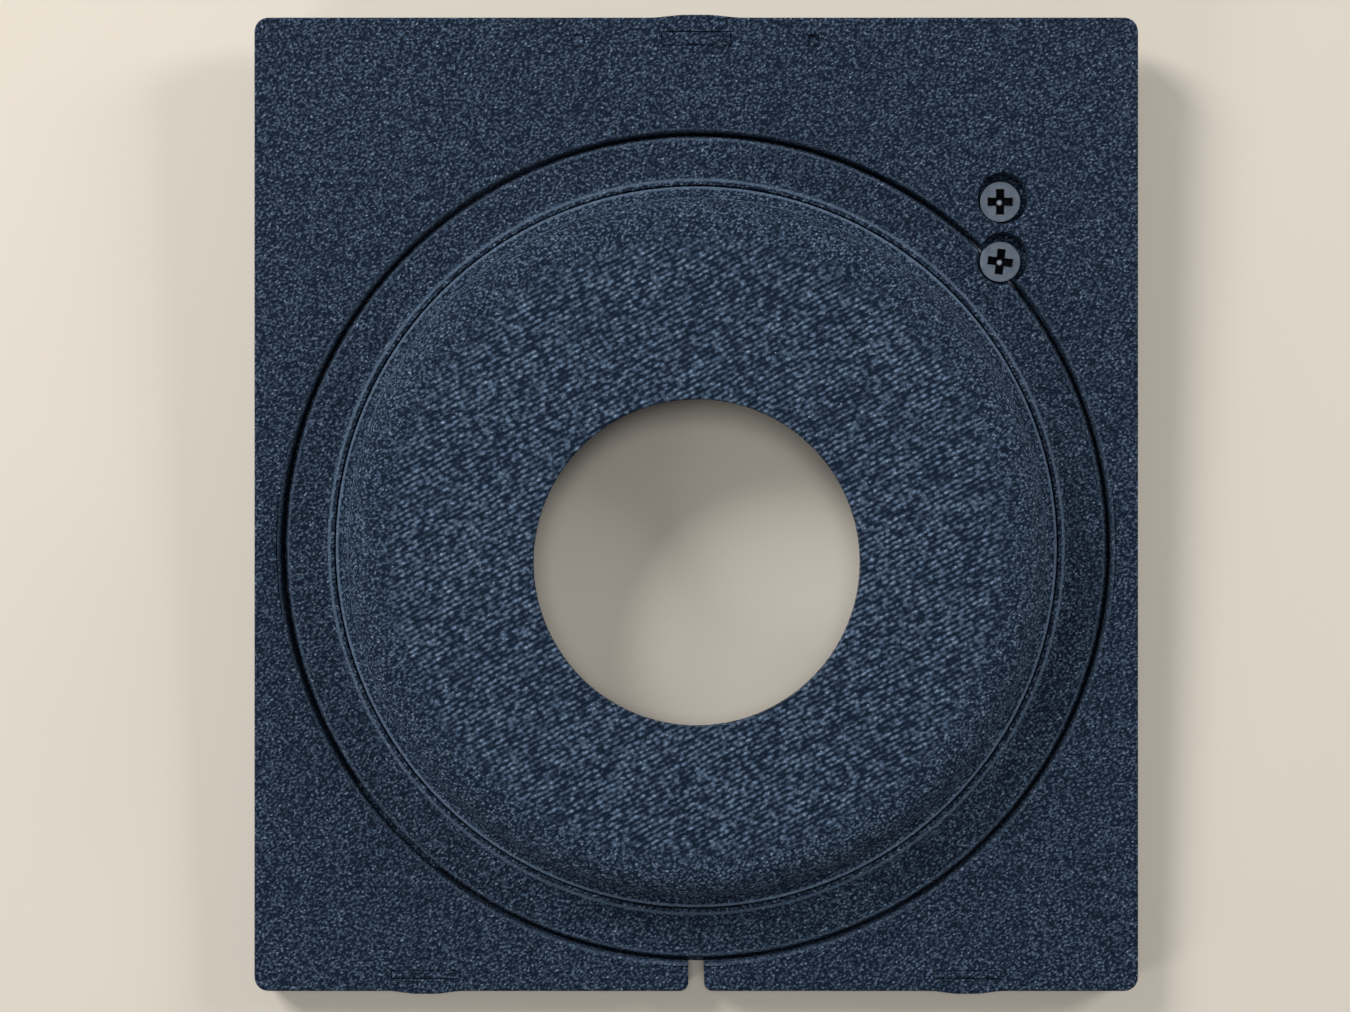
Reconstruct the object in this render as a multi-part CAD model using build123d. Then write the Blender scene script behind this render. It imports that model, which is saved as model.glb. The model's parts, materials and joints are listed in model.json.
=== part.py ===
from build123d import *
from math import cos, radians, sin
import os

# Enlarger lens board: a textured carrier plate with a round window, an adapter ring locked in that
# window by one screw, and a raised lens cup that turns in the ring and holds a 39 mm lens.
# Millimetres. The origin lies under the middle of the carrier plate, level with the ends of the two
# stage pins behind it. +Z points to the front of the board, +Y to its top edge. The pieces are
# worked out from the plate's rear face and raised by the pins' reach when they are written.

# --- driving dimensions ------------------------------------------------------------------------

# carrier plate
PLATE_WIDTH = 108.0
PLATE_HEIGHT = 119.0
PLATE_THICKNESS = 4.0
PLATE_CORNER_R = 1.7
WINDOW_R = 50.8
WINDOW_DROP = 5.2            # window centre below the plate's centre
SHELF_WIDTH = 3.2            # ledge at the back of the window
SHELF_THICKNESS = 0.8
NOTCH_WIDTH = 1.96           # index notch at the bottom edge
NOTCH_MOUTH_R = 1.0

# adapter ring
RING_GAP = 0.45              # all round, between the window and the ring
RING_SUNK = 0.7              # ring face below the plate face
RING_EDGE_R = 0.7
HUB_CLEARANCE = 0.4          # between the hub and the shelf
HUB_BEHIND_SEAL = 1.0        # how far the hub reaches behind the flange
ANNULUS_WIDTH = 4.85         # flat of the ring, from its edge to the foot of its lip
LIP_SLOPE_WIDTH = 0.8
LIP_FLAT_WIDTH = 0.5
LIP_HEIGHT = 0.6
TONGUE_REACH = 1.25          # beyond the ring's edge, opposite the lock screw
TONGUE_THICKNESS = 0.8
TONGUE_ANGLE = 16.0
TONGUE_CLEARANCE = 0.3

# lens cup
NECK_CLEARANCE = 0.15        # radial, where the cup turns in the ring
NECK_RING_WIDTH = 0.55       # flat ring around the foot of the cup
RIM_WIDTH = 1.2              # the rim behind the ring's shoulder
RIM_THICKNESS = 0.8
FOOT_SLOPE_WIDTH = 0.9
FOOT_SLOPE_HEIGHT = 1.1
CUP_DRAFT = 0.85
CUP_RAISE = 7.0              # cup face above the ring face
CUP_WALL = 1.8
FACE_THICKNESS = 1.8
SHOULDER_R = 3.8
LENS_HOLE_R = 19.5
LENS_HOLE_DROP = 1.75        # hole centre below the cup's centre

# retaining ring behind the cup
RETAINER_THICKNESS = 0.4
RETAINER_LIP = 0.4           # hub wall behind the groove
RETAINER_GRIP = 1.05         # how far it reaches under the cup's rim
RETAINER_DEPTH = 0.65        # how far it sits in its groove
RETAINER_GAP = 9.0
GROOVE_CLEARANCE = 0.05

# felt light seal
SEAL_THICKNESS = 0.3
SEAL_MARGIN = 0.6            # from the window wall and from the shelf's edge

# screws and the tapped bar behind them
LOCK_SCREW_ANGLE = 43.152    # round the window, from its right
LOCK_SCREW_OUTSIDE = 0.3     # beyond the window's edge, so that the head covers the joint
SCREW_SPACING = 7.35         # the bar screw is straight above the lock screw
HEAD_R = 2.5
HEAD_THICKNESS = 1.1
HEAD_SUNK = 1.1              # head top below the plate face
HEAD_POCKET_CLEARANCE = 0.63
HEAD_EDGE_R = 0.15
SHANK_R = 1.2
SHANK_CLEARANCE = 0.2
THREAD_CLEARANCE = 0.05
SHANK_LENGTH = 1.6
CROSS_SPAN = 3.1
CROSS_ARM = 1.0
CROSS_DEPTH = 0.75
CROSS_DRAFT = 18.0
LOCK_CROSS_TURN = -7.0
BAR_CROSS_TURN = 0.0
BAR_WIDTH = 7.0
BAR_THICKNESS = 1.0
BAR_CLEARANCE = 0.2

# inserts in the edges, and the swell of the plate in front of each
TOP_INSERT = (8.6, 1.8)      # length, width
TOP_INSERT_IN = 1.7          # from the plate's edge
TOP_SWELL = (11.6, 0.35)     # length, height
LOW_INSERT = (8.4, 1.1)
LOW_INSERT_IN = 1.5
LOW_SWELL = (9.2, 0.35)
LOW_INSERT_X = 33.1
INSERT_GAP = 0.12
INSERT_DEPTH = 2.8
PLATE_EDGE = 0.3             # chamfer round the front face

# stage pins
PIN_X = 14.4
PIN_FROM_TOP = 2.9
PIN_R = 0.6                  # the end that is pressed through the plate
DOWEL_R = 0.9                # the free end behind the plate
DOWEL_CHAMFER = 0.2
RELIEF_DEPTH = 0.5           # where the dowel meets the plate, both are cut back
RELIEF = 0.2
PIN_MOUTH_R = 0.84
PIN_MOUTH_DEPTH = 0.5
PIN_REACH = 3.5              # behind the plate
PIN_SUNK = (0.1, 0.4)        # pin ends below the plate face, left and right

# --- places worked out from them ---------------------------------------------------------------

WINDOW_Y = -WINDOW_DROP
FACE_Z = PLATE_THICKNESS
SHELF_R = WINDOW_R - SHELF_WIDTH
RING_R = WINDOW_R - RING_GAP
RING_TOP = FACE_Z - RING_SUNK
RING_BOTTOM = SHELF_THICKNESS + SEAL_THICKNESS
HUB_R = SHELF_R - HUB_CLEARANCE
HUB_BOTTOM = RING_BOTTOM - HUB_BEHIND_SEAL
LIP_TOP = RING_TOP + LIP_HEIGHT
LIP_OUTER_R = RING_R - ANNULUS_WIDTH
LIP_TOP_R = LIP_OUTER_R - LIP_SLOPE_WIDTH
RING_BORE_R = LIP_TOP_R - LIP_FLAT_WIDTH
NECK_R = RING_BORE_R - NECK_CLEARANCE
RIM_R = NECK_R + RIM_WIDTH
RIM_BORE_R = RIM_R + NECK_CLEARANCE
RETAINER_BOTTOM = HUB_BOTTOM + RETAINER_LIP
RIM_BOTTOM = RETAINER_BOTTOM + RETAINER_THICKNESS
RIM_TOP = RIM_BOTTOM + RIM_THICKNESS
SHOULDER_Z = RIM_TOP + NECK_CLEARANCE
RETAINER_R = RIM_BORE_R + RETAINER_DEPTH
CUP_FOOT_R = NECK_R - NECK_RING_WIDTH
CUP_WALL_R = CUP_FOOT_R - FOOT_SLOPE_WIDTH
CUP_TOP_R = CUP_WALL_R - CUP_DRAFT
CUP_BORE_R = CUP_TOP_R - CUP_WALL
CUP_TOP = RING_TOP + CUP_RAISE
CUP_CEILING = CUP_TOP - FACE_THICKNESS
SEAT_Z = FACE_Z - HEAD_SUNK - HEAD_THICKNESS
BAR_TOP = RING_BOTTOM
BAR_BOTTOM = BAR_TOP - BAR_THICKNESS
POCKET_R = HEAD_R + HEAD_POCKET_CLEARANCE
LOCK_SCREW_R = WINDOW_R + LOCK_SCREW_OUTSIDE
SCREW_X = LOCK_SCREW_R * cos(radians(LOCK_SCREW_ANGLE))
LOCK_Y = WINDOW_Y + LOCK_SCREW_R * sin(radians(LOCK_SCREW_ANGLE))
BAR_Y = LOCK_Y + SCREW_SPACING
TONGUE_MIDDLE = LOCK_SCREW_ANGLE + 180
TONGUE_BOTTOM = RING_BOTTOM + TONGUE_CLEARANCE
PIN_Y = PLATE_HEIGHT / 2 - PIN_FROM_TOP


# --- shapes used more than once ----------------------------------------------------------------

def lathe(*points):
    """A solid of revolution about Z from an outline of (radius, height) points."""
    return revolve(make_face(Polyline(*[(r, 0, z) for r, z in points], close=True)), Axis.Z)


def disc(radius, bottom, top, x=0.0, y=0.0):
    """An upright cylinder between two heights."""
    return Pos(x, y, (bottom + top) / 2) * Cylinder(radius, top - bottom)


def hoop(inner, outer, bottom, top):
    """A flat ring about Z."""
    return disc(outer, bottom, top) - disc(inner, bottom, top)


def sector(inner, outer, bottom, top, middle, angle):
    """A hoop's part within an angle, in degrees, about the direction middle."""
    sides = [2 * outer * Vector(1, 0).rotate(Axis.Z, middle + turn) for turn in (-angle / 2, angle / 2)]
    wedge = make_face(Polyline((0, 0), *[(side.X, side.Y) for side in sides], close=True))
    return hoop(inner, outer, bottom, top) & extrude(Pos(0, 0, bottom) * wedge, top - bottom)


def circle_edge(solid, radius, height):
    """The circular edges of a given radius at a given height."""
    return [
        edge for edge in solid.edges().filter_by(GeomType.CIRCLE)
        if abs(edge.radius - radius) < 1e-3 and abs(edge.arc_center.Z - height) < 1e-3
    ]


def on_window(solid):
    """Move a piece made about Z to the window's axis."""
    return Pos(0, WINDOW_Y, 0) * solid


def bar_outline(margin, bottom, top):
    """A round-ended bar over both screws."""
    outline = SlotCenterToCenter(BAR_Y - LOCK_Y, BAR_WIDTH + 2 * margin, rotation=90)
    return extrude(Pos(SCREW_X, (BAR_Y + LOCK_Y) / 2, bottom) * outline, top - bottom)


def swell(x, edge_y, outward, size):
    """The flat arc that stands out of the plate's edge in front of an insert."""
    length, height = size
    radius = (length ** 2 / 4 + height ** 2) / (2 * height)
    arc = Pos(x, edge_y + outward * (height - radius)) * Circle(radius)
    strip = Pos(x, edge_y) * Rectangle(length, 2 * height)
    return extrude(arc & strip, PLATE_THICKNESS)


def insert_block(x, edge_y, outward, size, inset, gap):
    """An edge insert, or with no gap the slot that it lies in."""
    length, width = size
    y = edge_y - outward * (inset + width / 2)
    z = FACE_Z - INSERT_DEPTH / 2
    return Pos(x, y, z) * Box(length - 2 * gap, width - 2 * gap, INSERT_DEPTH)


TOP_EDGE = (0.0, PLATE_HEIGHT / 2, 1, TOP_INSERT, TOP_INSERT_IN)
LEFT_EDGE = (-LOW_INSERT_X, -PLATE_HEIGHT / 2, -1, LOW_INSERT, LOW_INSERT_IN)
RIGHT_EDGE = (LOW_INSERT_X, -PLATE_HEIGHT / 2, -1, LOW_INSERT, LOW_INSERT_IN)


# --- pieces ------------------------------------------------------------------------------------

def carrier_plate():
    outline = RectangleRounded(PLATE_WIDTH, PLATE_HEIGHT, PLATE_CORNER_R)
    plate = extrude(outline, PLATE_THICKNESS)
    plate = chamfer(plate.faces().sort_by(Axis.Z)[-1].edges(), PLATE_EDGE)
    plate += swell(*TOP_EDGE[:3], TOP_SWELL)
    plate += swell(*LEFT_EDGE[:3], LOW_SWELL)
    plate += swell(*RIGHT_EDGE[:3], LOW_SWELL)
    # window, with a ledge left at its back
    plate -= on_window(disc(WINDOW_R, SHELF_THICKNESS, FACE_Z + 1))
    plate -= on_window(disc(SHELF_R, -1, FACE_Z + 1))
    # groove for the ring's tongue
    plate -= on_window(sector(
        WINDOW_R - 1, RING_R + TONGUE_REACH + TONGUE_CLEARANCE,
        RING_BOTTOM, TONGUE_BOTTOM + TONGUE_THICKNESS + TONGUE_CLEARANCE,
        TONGUE_MIDDLE, TONGUE_ANGLE + 1,
    ))
    # index notch, open to the window, with a rounded mouth
    bottom = -PLATE_HEIGHT / 2
    window_bottom = WINDOW_Y - WINDOW_R
    notch = Pos(0, (bottom + window_bottom) / 2) * Rectangle(
        NOTCH_WIDTH, window_bottom - bottom + 1)
    mouth = Pos(0, bottom) * Rectangle(NOTCH_WIDTH + 2 * NOTCH_MOUTH_R, 2 * NOTCH_MOUTH_R)
    for side in (-1, 1):
        mouth -= Pos(side * (NOTCH_WIDTH / 2 + NOTCH_MOUTH_R), bottom + NOTCH_MOUTH_R) * Circle(
            NOTCH_MOUTH_R)
    plate -= extrude(notch + mouth, PLATE_THICKNESS) - on_window(disc(WINDOW_R, -1, FACE_Z + 1))
    # screw pockets, shank holes and the bar's recess
    for y in (LOCK_Y, BAR_Y):
        plate -= disc(POCKET_R, SEAT_Z, FACE_Z + 1, SCREW_X, y)
        plate -= disc(SHANK_R + SHANK_CLEARANCE, -1, FACE_Z, SCREW_X, y)
    plate -= bar_outline(BAR_CLEARANCE, -1, BAR_TOP)
    # slots for the edge inserts
    for edge in (TOP_EDGE, LEFT_EDGE, RIGHT_EDGE):
        plate -= insert_block(*edge, 0.0)
    # holes for the stage pins
    for side in (-1, 1):
        plate -= disc(PIN_R, -1, FACE_Z + 1, side * PIN_X, PIN_Y)
        plate -= disc(PIN_MOUTH_R, FACE_Z - PIN_MOUTH_DEPTH, FACE_Z + 1, side * PIN_X, PIN_Y)
        plate -= disc(DOWEL_R + RELIEF, -1, RELIEF_DEPTH, side * PIN_X, PIN_Y)
    return plate


def seal_ring():
    ring = on_window(hoop(
        SHELF_R + SEAL_MARGIN, WINDOW_R - SEAL_MARGIN, SHELF_THICKNESS, RING_BOTTOM))
    return ring - bar_outline(2 * BAR_CLEARANCE, 0, FACE_Z)


def adapter_ring():
    groove_top = RIM_BOTTOM + GROOVE_CLEARANCE
    groove_bottom = RETAINER_BOTTOM - GROOVE_CLEARANCE
    groove_r = RETAINER_R + GROOVE_CLEARANCE
    ring = lathe(
        (RING_BORE_R, SHOULDER_Z), (RIM_BORE_R, SHOULDER_Z),
        (RIM_BORE_R, groove_top), (groove_r, groove_top),
        (groove_r, groove_bottom), (RIM_BORE_R, groove_bottom),
        (RIM_BORE_R, HUB_BOTTOM), (HUB_R, HUB_BOTTOM),
        (HUB_R, RING_BOTTOM), (RING_R, RING_BOTTOM),
        (RING_R, RING_TOP), (LIP_OUTER_R, RING_TOP),
        (LIP_TOP_R, LIP_TOP), (RING_BORE_R, LIP_TOP),
    )
    ring = fillet(circle_edge(ring, RING_R, RING_TOP), RING_EDGE_R)
    ring += sector(
        RING_R - 1, RING_R + TONGUE_REACH, TONGUE_BOTTOM, TONGUE_BOTTOM + TONGUE_THICKNESS,
        TONGUE_MIDDLE, TONGUE_ANGLE,
    )
    ring = on_window(ring)
    ring -= disc(POCKET_R, SEAT_Z, FACE_Z, SCREW_X, LOCK_Y)
    ring -= disc(SHANK_R + SHANK_CLEARANCE, 0, FACE_Z, SCREW_X, LOCK_Y)
    return ring


def lens_cup():
    cup = lathe(
        (CUP_BORE_R, RIM_BOTTOM), (RIM_R, RIM_BOTTOM), (RIM_R, RIM_TOP), (NECK_R, RIM_TOP),
        (NECK_R, LIP_TOP), (CUP_FOOT_R, LIP_TOP),
        (CUP_WALL_R, LIP_TOP + FOOT_SLOPE_HEIGHT), (CUP_TOP_R, CUP_TOP),
        (0, CUP_TOP), (0, CUP_CEILING), (CUP_BORE_R, CUP_CEILING),
    )
    cup = fillet(circle_edge(cup, CUP_TOP_R, CUP_TOP), SHOULDER_R)
    cup = fillet(circle_edge(cup, CUP_BORE_R, CUP_CEILING), SHOULDER_R - CUP_WALL)
    cup -= disc(LENS_HOLE_R, CUP_CEILING - 1, CUP_TOP + 1, 0, -LENS_HOLE_DROP)
    return on_window(cup)


def cup_retainer():
    ring = hoop(RIM_R - RETAINER_GRIP, RETAINER_R, RETAINER_BOTTOM, RIM_BOTTOM)
    ring -= Pos(0, -RETAINER_R, RETAINER_BOTTOM) * Box(
        RETAINER_GAP, 4 * RETAINER_GRIP, 4 * RETAINER_THICKNESS)
    return on_window(ring)


def screw_bar():
    bar = bar_outline(0.0, BAR_BOTTOM, BAR_TOP)
    for y in (LOCK_Y, BAR_Y):
        bar -= disc(SHANK_R + THREAD_CLEARANCE, BAR_BOTTOM, BAR_TOP, SCREW_X, y)
    return bar


def screw(y, cross_turn):
    head_top = SEAT_Z + HEAD_THICKNESS
    head = disc(HEAD_R, SEAT_Z, head_top)
    head = fillet(circle_edge(head, HEAD_R, head_top), HEAD_EDGE_R)
    cross = Rectangle(CROSS_SPAN, CROSS_ARM) + Rectangle(CROSS_ARM, CROSS_SPAN)
    cross = extrude(Pos(0, 0, head_top) * Rot(0, 0, cross_turn) * cross,
                    amount=-CROSS_DEPTH, taper=CROSS_DRAFT)
    shank = disc(SHANK_R, SEAT_Z - SHANK_LENGTH, SEAT_Z)
    return Pos(SCREW_X, y, 0) * (head - cross + shank)


def stage_pin(side, sunk):
    dowel = chamfer(circle_edge(disc(DOWEL_R, -PIN_REACH, 0), DOWEL_R, -PIN_REACH), DOWEL_CHAMFER)
    neck = disc(DOWEL_R - RELIEF, 0, RELIEF_DEPTH)
    pressed = disc(PIN_R, RELIEF_DEPTH, FACE_Z - sunk)
    return Pos(side * PIN_X, PIN_Y, 0) * (dowel + neck + pressed)


PIECES = {
    "carrier_plate": carrier_plate(),
    "seal_ring": seal_ring(),
    "adapter_ring": adapter_ring(),
    "lens_cup": lens_cup(),
    "cup_retainer": cup_retainer(),
    "screw_bar": screw_bar(),
    "lock_screw": screw(LOCK_Y, LOCK_CROSS_TURN),
    "bar_screw": screw(BAR_Y, BAR_CROSS_TURN),
    "top_edge_insert": insert_block(*TOP_EDGE, INSERT_GAP),
    "left_edge_insert": insert_block(*LEFT_EDGE, INSERT_GAP),
    "right_edge_insert": insert_block(*RIGHT_EDGE, INSERT_GAP),
    "left_stage_pin": stage_pin(-1, PIN_SUNK[0]),
    "right_stage_pin": stage_pin(1, PIN_SUNK[1]),
}

os.makedirs("parts", exist_ok=True)
for name, piece in PIECES.items():
    export_step(Pos(0, 0, PIN_REACH) * piece, f"parts/{name}.step")
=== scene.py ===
import json
import math
from types import SimpleNamespace

import bpy
import numpy as np
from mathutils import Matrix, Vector


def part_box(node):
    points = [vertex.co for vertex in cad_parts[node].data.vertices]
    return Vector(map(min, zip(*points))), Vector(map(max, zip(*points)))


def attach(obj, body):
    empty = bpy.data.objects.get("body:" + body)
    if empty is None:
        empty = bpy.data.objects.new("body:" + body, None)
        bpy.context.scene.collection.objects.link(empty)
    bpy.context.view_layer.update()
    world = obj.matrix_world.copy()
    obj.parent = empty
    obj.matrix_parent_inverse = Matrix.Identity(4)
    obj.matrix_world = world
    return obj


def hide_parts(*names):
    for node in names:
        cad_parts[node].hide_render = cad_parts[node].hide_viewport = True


bl_info = {
    "name": "Enlarger lens board",
    "version": (1, 0, 0),
    "blender": (4, 5, 0),
    "location": "3D View > Sidebar > Lens board",
    "description": "Builds the looks of a textured lens board around its packed frame",
    "category": "Object",
}

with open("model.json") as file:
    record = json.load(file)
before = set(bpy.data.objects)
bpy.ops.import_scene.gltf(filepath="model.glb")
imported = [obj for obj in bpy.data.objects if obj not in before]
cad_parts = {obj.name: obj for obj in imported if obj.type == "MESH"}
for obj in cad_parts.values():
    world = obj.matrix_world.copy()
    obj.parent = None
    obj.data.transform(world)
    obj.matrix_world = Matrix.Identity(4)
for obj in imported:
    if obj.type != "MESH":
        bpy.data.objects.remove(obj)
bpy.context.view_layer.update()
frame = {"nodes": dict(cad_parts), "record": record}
MM = 0.001


# --- places read from the frame, in millimetres ---

def box_mm(node):
    """Lowest and highest corner of a frame node, in millimetres."""
    low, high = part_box(node)
    return np.array(low) / MM, np.array(high) / MM


def middle_and_size(node):
    """Middle and size of a frame node's box, in millimetres."""
    low, high = box_mm(node)
    return (low + high) / 2, high - low


PLATE_LOW, PLATE_HIGH = box_mm("carrier_plate")
RING_LOW = box_mm("adapter_ring")[0]
CUP_LOW, CUP_HIGH = box_mm("lens_cup")
BAR_LOW, BAR_HIGH = box_mm("screw_bar")

BACK_Z = PLATE_LOW[2]
FACE_Z = PLATE_HIGH[2]
CENTRE = (CUP_LOW[:2] + CUP_HIGH[:2]) / 2
CUP_TOP = CUP_HIGH[2]
SCREWS = [box_mm("lock_screw"), box_mm("bar_screw")]
SCREW_AXES = [(low[:2] + high[:2]) / 2 for low, high in SCREWS]
SCREW_TOP = SCREWS[0][1][2]
TONGUE_ANGLE = math.degrees(math.atan2(*(CENTRE - SCREW_AXES[0])[::-1]))   # opposite the lock
RING_FACE = FACE_Z - 0.7          # the ring's face lies a little lower than the plate's
RING_GAP = 0.45                   # between the ring and the window
FLANGE_Z = RING_LOW[2] + 1.0      # rear of the ring's flange
UNDER, OVER = -5.0, 3.0           # how far the cutters reach past the rear and the face
TONGUE_HALF = 8.0                 # half the tongue's arc, in degrees
TONGUE_REACH = 1.25               # of the tongue past the ring's edge
TURNING_MARKS = 0.16              # spacing of the rings that turning leaves on a screw's head
POCKET_OFFSET = np.array([0.22, 0.3])     # the pockets are cut slightly off the screws' axes


# --- sizes and colours a user may change ---

def length(default, description):
    """A size, given here in millimetres and kept in metres."""
    return bpy.props.FloatProperty(
        name=description.split(",")[0], description=description, default=default * MM, min=0.0,
        precision=5, subtype="DISTANCE", unit="LENGTH")


def colour(default, description):
    """An sRGB hex colour, kept as text so that it reads as a paint maker writes it."""
    return bpy.props.StringProperty(
        name=description.split(",")[0], description=description, default=default, maxlen=7)


def linear(hex_colour):
    """Linear RGBA of an sRGB hex colour."""
    values = [int(hex_colour[k:k + 2], 16) / 255 for k in (1, 3, 5)]
    return (*(v / 12.92 if v <= 0.04045 else ((v + 0.055) / 1.055) ** 2.4 for v in values), 1.0)


def chosen(scene, part):
    """One group of settings: its lengths in millimetres and its colours linear."""
    group = getattr(scene, f"lens_board_{part}")
    values = {name: getattr(group, name) for name in group.__annotations__}
    return SimpleNamespace(**{
        name: linear(value) if isinstance(value, str) else round(value / MM, 4)
        for name, value in values.items()})


class LensBoardPlate(bpy.types.PropertyGroup):
    """Carrier plate sizes."""
    corner: length(1.7, "Corner radius, in plan")
    edge: length(0.35, "Edge rounding, round the front face")
    window: length(50.8, "Window radius")
    window_edge: length(0.5, "Window edge rounding")
    shelf: length(3.2, "Ledge width, behind the window")
    shelf_thickness: length(0.8, "Ledge thickness")
    notch: length(1.96, "Notch width")
    notch_mouth: length(1.0, "Notch mouth radius")
    swell: length(0.35, "Swell height, in front of an edge insert")
    top_swell: length(11.6, "Top swell length")
    low_swell: length(9.2, "Bottom swell length")


class LensBoardDisc(bpy.types.PropertyGroup):
    """Adapter ring and lens cup sizes."""
    ring_edge: length(0.7, "Ring edge rounding")
    ring_bore: length(44.2, "Ring bore radius")
    rim_bore: length(45.4, "Counterbore radius, behind the ring's shoulder")
    hub: length(47.2, "Hub radius")
    lip_outer: length(45.5, "Lip outer radius")
    lip_inner: length(44.7, "Lip inner radius")
    lip_height: length(0.6, "Lip height")
    neck: length(44.05, "Neck radius of the cup")
    foot: length(43.45, "Foot radius, where the cup's wall starts")
    step: length(42.95, "Step radius, at the top of the foot's steep part")
    wall: length(42.3, "Wall radius above the foot's bevel")
    top: length(41.75, "Wall radius at the shoulder")
    shoulder: length(3.8, "Shoulder rounding")
    wall_thickness: length(1.8, "Wall thickness of the cup")
    hole: length(19.5, "Lens hole radius")
    hole_drop: length(1.75, "Lens hole drop, below the cup's centre")
    hole_edge: length(0.12, "Lens hole edge rounding")


class LensBoardScrews(bpy.types.PropertyGroup):
    """Screw sizes."""
    head: length(2.5, "Head radius")
    head_thickness: length(1.1, "Head thickness")
    head_edge: length(0.1, "Head edge rounding")
    pocket: length(3.13, "Pocket radius")
    shank_hole: length(1.4, "Shank hole radius")
    thread_outer: length(1.2, "Thread crest radius")
    thread_depth: length(0.2, "Thread depth")
    pitch: length(0.45, "Thread pitch")
    cross_reach: length(1.55, "Cross reach, from the screw's axis")
    cross_half: length(0.5, "Half width of a cross arm")
    cross_depth: length(0.75, "Cross depth")


class LensBoardFinish(bpy.types.PropertyGroup):
    """Finish colours and grain."""
    paint_crest: colour("#667d98", "Paint colour, on the grain's crests")
    paint_pit: colour("#0c1827", "Paint colour, in the grain's pits")
    cup_crest: colour("#748ca9", "Cup paint colour, on the grain's crests")
    cup_pit: colour("#0d1a2a", "Cup paint colour, in the grain's pits")
    # painted highlight on the sharpest crests
    glint: colour("#a3b4c8", "Glint colour, on the sharpest crests")
    sheen: colour("#b4c8ee", "Tint of the paint's sheen")
    # painted highlight: a lighter colour along raised edges, where the lights catch them
    rubbed: colour("#66798f", "Rubbed paint colour, along raised edges")
    dust: colour("#8496ab", "Dust colour")
    screw_steel: colour("#68727e", "Screw steel colour")
    screw_shade: colour("#535c68", "Screw steel colour, in its cloudy patches")
    # painted shade in the cross of a screw
    recess: colour("#0b0c0f", "Recess colour, in the cross of a screw")
    # painted highlight on the seat that the driver has polished
    seat: colour("#9aa2ad", "Seat colour, at the bottom of the cross")
    spring_steel: colour("#565a63", "Blued steel colour")
    steel_shade: colour("#2c3038", "Blued steel colour, in its cloudy patches")
    pin_steel: colour("#2b333e", "Blackened steel colour")
    felt: colour("#15161a", "Felt colour")
    fibre: colour("#33343a", "Felt colour, on the raised fibres")
    floor: colour("#d9d0c2", "Floor colour")
    floor_cloud: colour("#ddd5c8", "Floor colour, in its faint clouds")
    grain: length(0.33, "Grain size")
    raster: length(0.6, "Raster row spacing, on the cup's face")
    relief: length(0.2, "Relief of the grain")
    # size of the painted highlight spots on the crests
    sparkle: length(0.3, "Sparkle size, of the grain's bright tips")
    dust_spacing: length(2.2, "Dust speck spacing")


# --- surfaces ---

def signed_volume(points, faces):
    """Volume of a closed mesh of triangles and quads: sum of the tetrahedra to the origin."""
    a, b, c, d = (points[faces[:, k]] for k in range(4))
    first = np.einsum("ij,ij->i", a, np.cross(b, c))
    second = np.einsum("ij,ij->i", a, np.cross(c, d))
    return (first + second).sum() / 6


def surface_faces(rows, columns, wrap_rows, wrap_columns):
    """Quads of a grid of rows by columns; a wrapped direction joins its last line to its first."""
    r = np.arange(rows if wrap_rows else rows - 1)
    c = np.arange(columns if wrap_columns else columns - 1)
    r, c = np.meshgrid(r, c, indexing="ij")
    r2, c2 = (r + 1) % rows, (c + 1) % columns
    quads = np.stack([r * columns + c, r2 * columns + c, r2 * columns + c2, r * columns + c2], -1)
    return quads.reshape(-1, 4)


def cap_faces(loop):
    """Fan of a closed loop of point numbers to one more point, whose number is given last."""
    edge, hub = np.array(loop[:-1]), loop[-1]
    following = np.roll(edge, -1)
    return np.stack([edge, following, np.full_like(edge, hub), np.full_like(edge, hub)], -1)


def make_mesh(name, points, faces, smooth_angle=40.0):
    """A mesh object from points in millimetres and quads; a quad that names a point twice is a
    triangle. Faces are turned outwards by the sign of the enclosed volume."""
    if signed_volume(points, faces) < 0:
        faces = faces[:, ::-1]
    polygons = [tuple(dict.fromkeys(face)) for face in faces.tolist()]
    mesh = bpy.data.meshes.new(name)
    mesh.from_pydata((points * MM).tolist(), [], [p for p in polygons if len(p) > 2])
    mesh.validate()
    smooth(mesh, smooth_angle)
    piece = bpy.data.objects.new(name, mesh)
    bpy.context.scene.collection.objects.link(piece)
    return piece


def smooth(mesh, angle):
    """Smooth shading with sharp edges above an angle in degrees."""
    mesh.polygons.foreach_set("use_smooth", np.ones(len(mesh.polygons), dtype=bool))
    mesh.set_sharp_from_angle(angle=math.radians(angle))


def rounded(corners, steps=5):
    """A closed outline from (a, b, radius) corners. A corner with a radius becomes an arc that is
    tangent to both sides: its centre lies radius / cos(half the turn) along the bisector."""
    corners = np.array(corners, dtype=float)
    outline = []
    for before, here, after in zip(np.roll(corners, 1, 0), corners, np.roll(corners, -1, 0)):
        into = here[:2] - before[:2]
        out = after[:2] - here[:2]
        into, out = into / np.linalg.norm(into), out / np.linalg.norm(out)
        turn = math.atan2(into[0] * out[1] - into[1] * out[0], into @ out)
        if here[2] == 0 or abs(turn) < 1e-6:
            outline.append(here[None, :2])
            continue
        start = here[:2] - into * here[2] * math.tan(abs(turn) / 2)
        side = math.copysign(1.0, turn)
        centre = start + side * here[2] * np.array([-into[1], into[0]])
        angle = np.linspace(0, turn, steps + 1)
        arm = start - centre
        outline.append(np.stack([
            centre[0] + arm[0] * np.cos(angle) - arm[1] * np.sin(angle),
            centre[1] + arm[0] * np.sin(angle) + arm[1] * np.cos(angle)], -1))
    return np.concatenate(outline)


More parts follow.
